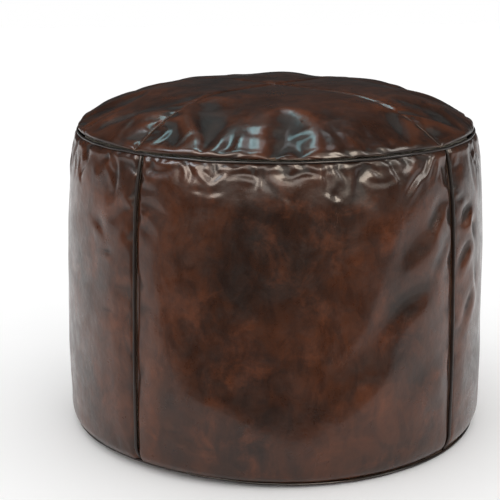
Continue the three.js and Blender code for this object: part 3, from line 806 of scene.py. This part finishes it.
def stuffed_form(name, inset, floor_z, lumps, lump_size, slit=None):
    """A closed round form a little inside the leather, with an open slit in its floor if one is given."""
    edge_z = floor_z + 14 * MM
    side_z = spread((edge_z, SIDE_TOP_Z - 6 * MM, 16 * MM))
    wall = np.stack([side_radius(side_z) - inset, side_z], axis=-1)
    shares = spread((0.97, 0.0, 0.05))[:-1]
    reach = RIM_RADIUS - inset
    crown = np.stack([reach * shares, top_height(shares * RIM_RADIUS) - inset], axis=-1)
    foot = np.array([[wall[0, 0] - 9 * MM, floor_z + 1.2 * MM], [wall[0, 0] - 2.5 * MM, floor_z + 5 * MM]])
    profile = np.vstack([foot, wall, crown])
    disc_x, disc_y, _ = half_disc(foot[0, 0], *(slit or (0.0, 0.0)), 0.0, 90.0)
    columns, rows = disc_x.shape
    turns = np.degrees(np.arctan2(disc_x[:, -1], -disc_y[:, -1]))
    turns = np.concatenate([turns, 360 - turns[::-1][1:-1]])
    ring = polar(profile[:, 0][None], turns[:, None], profile[:, 1][None])
    points, faces = [ring.reshape(-1, 3)], grid_faces(len(turns), len(profile), wrap=True)
    first = len(turns) * len(profile)
    points.append([(0, 0, profile[-1, 1])])
    for k in range(len(turns)):
        n = (k + 1) % len(turns)
        faces.append((k * len(profile) + len(profile) - 1, n * len(profile) + len(profile) - 1, first))
    first += 1
    for side in (1, -1):
        flat = np.stack([side * disc_x, disc_y, np.full_like(disc_x, foot[0, 1])], axis=-1)
        points.append(flat.reshape(-1, 3))
        quads = [tuple(first + v for v in face) for face in grid_faces(columns, rows)]
        faces += quads if side < 0 else [quad[::-1] for quad in quads]
        first += columns * rows
    places = np.vstack(points)
    pull = lumps * (0.5 + 0.5 * rough(places, lump_size, 3, inset / MM))
    middle = np.array([0, 0, TOP_Z / 2])
    inward = middle - places
    inward /= np.linalg.norm(inward, axis=1, keepdims=True)
    places += inward * (np.clip(pull, 0, lumps) * (places[:, 2] > floor_z + 3 * MM))[:, None]
    form = make_object(name, places, faces)
    weld = bmesh.new()
    weld.from_mesh(form.data)
    bmesh.ops.remove_doubles(weld, verts=weld.verts, dist=0.05 * MM)
    bmesh.ops.recalc_face_normals(weld, faces=weld.faces)
    weld.to_mesh(form.data)
    weld.free()
    form.data.shade_smooth()
    return form


def add_bag():
    """The cotton bag and the flock in it."""
    bag = stuffed_form("inner_bag", BAG_INSET, BAG_FLOOR_Z, 2.5 * MM, 30 * MM, BAG_SLIT)
    thick = bag.modifiers.new("thickness", "SOLIDIFY")
    thick.thickness = BAG_THICKNESS
    thick.offset = -1
    filling = stuffed_form("flock_filling", BAG_INSET + 4.2 * MM, BAG_FLOOR_Z + 2 * MM, 6 * MM, 22 * MM)
    for piece, node, slot, material in (
        (bag, "inner_liner", "cotton", COTTON), (filling, "filling", "filling", FLOCK),
    ):
        piece.data.materials.append(material)
        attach(piece, "pouf")
        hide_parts(node)


add_bag()

# ---------------------------------------------------------------- zip

COIL_PITCH = 1.55 * MM
COIL_WIRE = 0.3 * MM
POINTS_PER_TURN = 14


def add_coil(hand):
    """One row of the zip's teeth: a flattened helix of nylon wire."""
    low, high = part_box(f"zip_coil_{hand}")
    middle = (low + high) / 2
    half_width = (high[0] - low[0]) / 2 - COIL_WIRE
    half_height = (high[2] - low[2]) / 2 - COIL_WIRE
    length = high[1] - low[1] - 2 * COIL_WIRE
    side = 1 if hand == "right" else -1
    turns = length / COIL_PITCH
    t = np.linspace(0, turns * 2 * math.pi, int(turns * POINTS_PER_TURN))
    y = low[1] + COIL_WIRE + length * t / t[-1]
    x = middle[0] + side * half_width * np.cos(t)
    z = middle[2] + half_height * np.sign(np.sin(t)) * np.abs(np.sin(t)) ** 0.7
    coil = tube(f"coil_{hand}", np.stack([x, y, z], axis=-1), COIL_WIRE, 6, up=(0, 1, 0))
    coil.data.materials.append(NYLON)
    return coil


def add_tape(hand):
    """One woven tape: a flat, slightly uneven strip given its thickness."""
    low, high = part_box(f"zip_tape_{hand}")
    across = np.linspace(low[0], high[0], 16)
    along = np.linspace(low[1], high[1], 150)
    x, y = np.meshgrid(across, along, indexing="ij")
    z = np.full_like(x, (low[2] + high[2]) / 2)
    points = np.stack([x, y, z], axis=-1)
    points[..., 2] += 0.1 * MM * rough(points, 25 * MM, 2, 3.0)
    tape = make_object(f"tape_{hand}", points.reshape(-1, 3), grid_faces(16, 150))
    thick = tape.modifiers.new("thickness", "SOLIDIFY")
    thick.thickness = 0.42 * MM
    thick.offset = 0
    tape.data.materials.append(TAPE)
    return tape


def add_stitches():
    """Two rows of thread along the slot, through the base and the tapes."""
    low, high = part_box("zip_tape_right")
    points, faces = [], []
    step, length, thread = 3.6 * MM, 2.7 * MM, 0.36 * MM
    for side in (-1, 1):
        for y in np.arange(low[1] + 2 * MM, high[1] - 2 * MM, step):
            x = side * STITCH_X
            base = base_height(abs(x), y) - 0.15 * MM
            for k in range(7):
                share = k / 6
                swell_out = math.sin(math.pi * share)
                for n in range(6):
                    turn = math.pi / 3 * n
                    points.append((
                        x + thread * math.cos(turn),
                        y + length * share,
                        base - thread * 0.6 * swell_out + thread * math.sin(turn) * (0.5 + 0.5 * swell_out),
                    ))
            first = len(points) - 42
            for k in range(6):
                for n in range(6):
                    m = (n + 1) % 6
                    row = first + 6 * k
                    faces.append((row + n, row + 6 + n, row + 6 + m, row + m))
            faces.append(tuple(first + n for n in range(6)))
            faces.append(tuple(first + 36 + n for n in range(6))[::-1])
    stitches = make_object("zip_stitching", points, faces)
    stitches.data.materials.append(THREAD)
    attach(stitches, "pouf")


def add_zip():
    for hand in ("left", "right"):
        for piece, node, slot in (
            (add_coil(hand), f"zip_coil_{hand}", "zip_coil"),
            (add_tape(hand), f"zip_tape_{hand}", "zip_tape"),
        ):
            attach(piece, "pouf")
            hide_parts(node)
    add_stitches()
    for node in ("zip_slider", "zip_pull", "zip_bottom_stop", "zip_top_stop_left", "zip_top_stop_right"):
        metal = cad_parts[node]
        metal.data.materials.clear()
        metal.data.materials.append(BRASS)
        metal.data.shade_smooth()
        metal.modifiers.new("joined", "WELD").merge_threshold = 0.01 * MM
        bevel = metal.modifiers.new("rounded", "BEVEL")
        bevel.width = 0.28 * MM
        bevel.segments = 3
        bevel.angle_limit = math.radians(40)
        bevel.harden_normals = True


add_zip()

# ---------------------------------------------------------------- camera, lights, floor

CAMERA_AZIMUTH = -7.7  # degrees from -Y towards +X
CAMERA_DISTANCE = 1.641
CAMERA_HEIGHT = 0.659
CAMERA_PITCH = 14.98
CAMERA_YAW = 1.16  # turned to its own left, so that the pouf stands right of the middle
CAMERA_LENS = 90.9
SENSOR_WIDTH = 36


def make_camera():
    """A long lens a little above the top, on the front left."""
    data = bpy.data.cameras.new("camera")
    data.lens = CAMERA_LENS
    data.sensor_width = SENSOR_WIDTH
    camera = bpy.data.objects.new("camera", data)
    azimuth = math.radians(CAMERA_AZIMUTH)
    camera.location = (
        CAMERA_DISTANCE * math.sin(azimuth), -CAMERA_DISTANCE * math.cos(azimuth), CAMERA_HEIGHT,
    )
    camera.rotation_euler = (
        math.radians(90 - CAMERA_PITCH), 0, azimuth + math.radians(CAMERA_YAW),
    )
    bpy.context.scene.collection.objects.link(camera)
    bpy.context.scene.camera = camera


LIGHT_TARGET = (0, 0, 0.25)


def area_light(name, azimuth, elevation, distance, size, power, colour):
    """A soft box at an angle from -Y towards +X, facing the pouf."""
    data = bpy.data.lights.new(name, "AREA")
    data.shape = "RECTANGLE"
    data.size, data.size_y = size
    data.energy = power
    data.color = colour
    light = bpy.data.objects.new(name, data)
    flat = distance * math.cos(math.radians(elevation))
    place = Vector((
        flat * math.sin(math.radians(azimuth)),
        -flat * math.cos(math.radians(azimuth)),
        LIGHT_TARGET[2] + distance * math.sin(math.radians(elevation)),
    ))
    light.location = place
    light.rotation_euler = (Vector(LIGHT_TARGET) - place).to_track_quat("-Z", "Y").to_euler()
    light.visible_diffuse = False
    bpy.context.scene.collection.objects.link(light)


WORLD_SEEN = 1.0  # grey of the surroundings behind the floor, as the camera sees them
WORLD_ELSEWHERE = 1.2
WORLD_IN_GLOSS = 0.06
FLOOR_FAR = 6.0
FLOOR_NEAR = 0.45  # the floor stops close in front, so that the front wall reflects the dark
FLOOR_NEAR_RIGHT = 0.85

# Name, degrees from -Y and upwards, distance, size, power and colour
LIGHTS = (
    ("box_left", -70, 42, 2.0, (0.5, 0.9), 16, (0.82, 0.92, 1.0)),
    ("box_right", 62, 30, 2.0, (0.5, 0.9), 14, (1.0, 0.95, 0.88)),
    ("box_front", -8, 32, 2.2, (0.8, 1.1), 12, (1.0, 0.91, 0.84)),
    ("box_front_left", -41, 32, 2.2, (0.9, 1.1), 38, (1.0, 0.88, 0.77)),
    ("box_front_right", 21, 34, 2.2, (0.7, 1.1), 44, (1.0, 0.87, 0.73)),
    ("sky_left", -128, 77, 1.5, (0.46, 0.36), 4.9, (0.42, 0.82, 0.9)),
    ("sky_back", 172, 79, 1.7, (0.6, 0.3), 1.7, (0.9, 0.94, 1.0)),
)


def make_studio():
    """A pale floor, bright surroundings that hardly show in gloss, and soft boxes that only show there."""
    scene = bpy.context.scene
    scene.view_settings.view_transform = "Standard"
    far, near, right = FLOOR_FAR, -FLOOR_NEAR, -FLOOR_NEAR_RIGHT
    edge = [(-far, near), (0.15, near), (0.9, right), (far, right), (far, far), (-far, far)]
    floor = make_object("studio_floor", [(x, y, 0) for x, y in edge], [range(len(edge))], False)
    n = Nodes("floor_paper")
    n.finish(n.mix(n.noise(3), (0.9, 0.9, 0.9), (0.94, 0.94, 0.94)), 0.9, None)
    floor.data.materials.append(n.material)
    world = bpy.data.worlds.new("studio")
    world.use_nodes = True
    tree = world.node_tree
    path = tree.nodes.new("ShaderNodeLightPath")
    shades = []
    for grey in (WORLD_IN_GLOSS, WORLD_ELSEWHERE, WORLD_SEEN):
        shade = tree.nodes.new("ShaderNodeBackground")
        shade.inputs["Color"].default_value = (grey, grey, grey, 1)
        shades.append(shade.outputs[0])
    soft = tree.nodes.new("ShaderNodeMixShader")
    tree.links.new(path.outputs["Is Glossy Ray"], soft.inputs["Fac"])
    tree.links.new(shades[1], soft.inputs[1])
    tree.links.new(shades[0], soft.inputs[2])
    seen = tree.nodes.new("ShaderNodeMixShader")
    tree.links.new(path.outputs["Is Camera Ray"], seen.inputs["Fac"])
    tree.links.new(soft.outputs[0], seen.inputs[1])
    tree.links.new(shades[2], seen.inputs[2])
    tree.links.new(seen.outputs[0], tree.nodes["World Output"].inputs["Surface"])
    scene.world = world
    for light in LIGHTS:
        area_light(*light)


make_camera()
make_studio()
